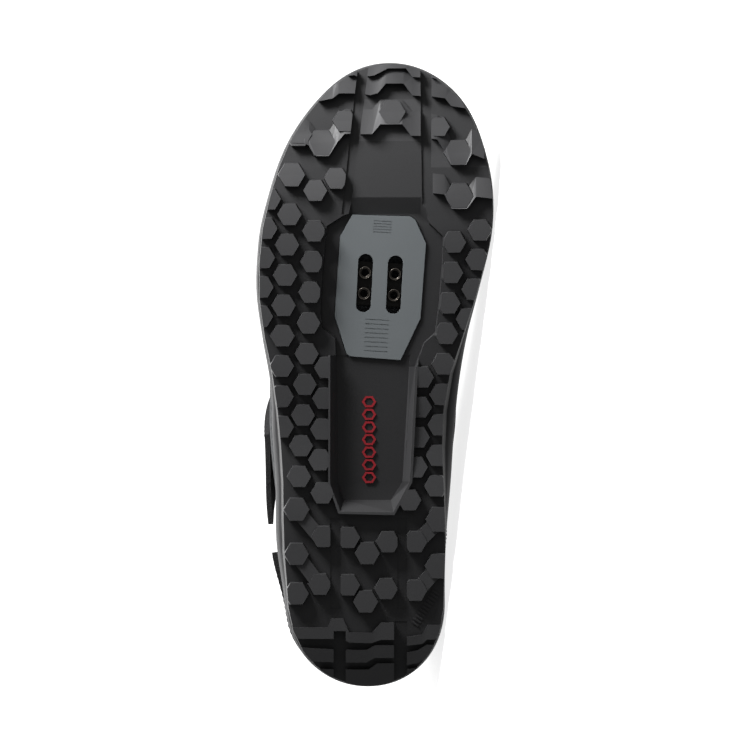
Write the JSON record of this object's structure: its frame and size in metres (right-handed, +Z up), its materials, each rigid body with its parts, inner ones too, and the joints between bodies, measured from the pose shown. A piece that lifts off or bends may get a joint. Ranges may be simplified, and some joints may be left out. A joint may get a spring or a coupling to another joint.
{
  "type": "cycling shoe",
  "caption": "Low cycling shoe lying on its side, with a lugged rubber sole, a recessed plate for a two-bolt cleat, and hook-and-loop straps.",
  "frame": {"origin": "middle of the box around the shoe, on the floor it lies on", "axes": "+X towards the toe, -Y the way the tread faces, +Z up from the medial side to the lateral side"},
  "size_m": [0.2924, 0.1438, 0.1079],
  "materials": {
    "rubber": "moulded matte",
    "foam": "moulded foam, satin",
    "glass_nylon": "fine grained",
    "black_steel": "blackened",
    "mesh": "knitted mesh",
    "coated_fabric": "coated, low sheen",
    "lining": "brushed knit",
    "webbing": "woven"
  },
  "bodies": {
    "shoe": {"outsole": "rubber", "midsole": "foam", "cleat_plate": "glass_nylon", "upper": "mesh", "toe_cap": "coated_fabric", "heel_counter": "coated_fabric", "insole": "lining", "tongue": "mesh", "instep_strap": "webbing", "heel_strap": "webbing"},
    "nut": {"cleat_nut": "black_steel"}
  },
  "joints": [
    {"name": "nut_slide", "type": "slide", "parent": "shoe", "child": "nut", "axis": [0.9977, -0.0045, 0.0674], "range_m": [-0.00525, 0.00525]}
  ]
}
